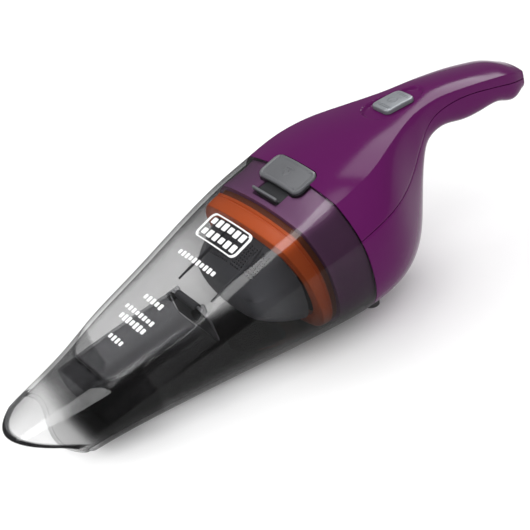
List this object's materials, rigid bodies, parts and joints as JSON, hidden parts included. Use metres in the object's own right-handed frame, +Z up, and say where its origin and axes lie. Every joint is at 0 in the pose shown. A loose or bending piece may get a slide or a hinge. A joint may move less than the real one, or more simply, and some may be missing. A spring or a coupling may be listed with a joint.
{
  "type": "handheld cordless vacuum cleaner",
  "caption": "Handheld cordless vacuum cleaner: smoked clear bowl with a scoop nozzle, filter set, motor and fan casing with sliding switch and bowl release, cell in the handle.",
  "frame": {"origin": "on the ground, under the middle of the whole object, which stands on the nozzle's lower lip and two rubber feet", "axes": "+X towards the end of the handle, +Y to the right of a user behind the handle, +Z up"},
  "size_m": [0.3952, 0.125, 0.118],
  "materials": {
    "casing_plastic": "smooth moulded purple plastic, satin gloss",
    "smoked_clear": "smoked see-through plastic, polished",
    "dark_clear": "darker see-through plastic",
    "black_plastic": "moulded black plastic",
    "cup_plastic": "dark grey moulded plastic",
    "ring_plastic": "orange moulded plastic",
    "seal_rubber": "soft dull orange seal",
    "black_rubber": "black rubber",
    "red_rubber": "red wire insulation",
    "filter_cloth": "white pleated filter cloth",
    "foam": "black foam",
    "steel": "plated steel",
    "magnet": "dark ferrite",
    "brass": "plain brass",
    "carbon": "pressed carbon",
    "nickel": "nickel strip",
    "cell_sleeve": "metal can in a blue sleeve",
    "board_green": "green circuit board",
    "board_black": "small black components",
    "lamp": "red lamp lens",
    "button_grey": "mid grey moulded plastic",
    "switch_silver": "silver-grey moulded plastic, satin"
  },
  "bodies": {
    "casing": {"top_shell": "casing_plastic", "lower_shell": "casing_plastic", "motor_bulkhead": "casing_plastic", "intake_grille": "black_plastic", "fan_shroud": "black_plastic", "motor_can": "steel", "field_magnets": "magnet", "motor_end_cap": "black_plastic", "motor_terminals": "brass", "motor_brushes": "carbon", "front_bush": "brass", "rear_bush": "brass", "front_motor_ring": "black_rubber", "rear_motor_ring": "black_rubber", "latch_spring": "steel", "circuit_board": "board_green", "board_parts": "board_black", "micro_switch": "black_plastic", "charge_lamp": "lamp", "battery_cell": "cell_sleeve", "front_cell_tab": "nickel", "rear_cell_tab": "nickel", "cell_pads": "foam", "charging_socket": "black_plastic", "shell_screws": "steel", "bulkhead_screws": "steel", "battery_lead_positive": "red_rubber", "battery_lead_negative": "black_rubber", "motor_lead_positive": "red_rubber", "motor_lead_negative": "black_rubber", "charge_lead_positive": "red_rubber", "charge_lead_negative": "black_rubber", "rubber_feet": "black_rubber"},
    "dust_bowl": {"bowl": "smoked_clear", "inner_duct": "dark_clear", "flap_pin": "steel"},
    "flap": {"duct_flap": "black_rubber"},
    "filter_set": {"filter_ring": "ring_plastic", "filter_seal": "seal_rubber", "prefilter_cup": "cup_plastic", "pleated_filter": "filter_cloth", "filter_rim": "black_plastic"},
    "button": {"release_button": "button_grey"},
    "switch": {"power_switch": "switch_silver", "switch_link": "black_plastic"},
    "rotor": {"motor_shaft": "steel", "armature_core": "steel", "commutator": "brass", "impeller": "black_plastic"}
  },
  "joints": [
    {"name": "bowl_slide", "type": "slide", "parent": "casing", "child": "dust_bowl", "axis": [-0.9816, 0, -0.1908], "range_m": [0, 0.11]},
    {"name": "flap_hinge", "type": "hinge", "parent": "dust_bowl", "child": "flap", "pos_m": [-0.06609, 0, 0.0498], "axis": [0, -1, 0], "range_deg": [0, 45]},
    {"name": "filter_slide", "type": "slide", "parent": "casing", "child": "filter_set", "axis": [-0.9816, 0, -0.1908], "range_m": [0, 0.007]},
    {"name": "button_press", "type": "slide", "parent": "casing", "child": "button", "axis": [0.1908, 0, -0.9816], "range_m": [0, 0.003], "stiffness_N_per_m": 400, "springref_m": -0.001, "deforming": ["latch_spring"]},
    {"name": "switch_slide", "type": "slide", "parent": "casing", "child": "switch", "axis": [-0.9986, 0, -0.0523], "range_m": [0, 0.006]},
    {"name": "rotor_spin", "type": "hinge", "parent": "casing", "child": "rotor", "pos_m": [0.05095, 0, 0.0593], "axis": [0.9816, 0, 0.1908], "continuous": true}
  ]
}
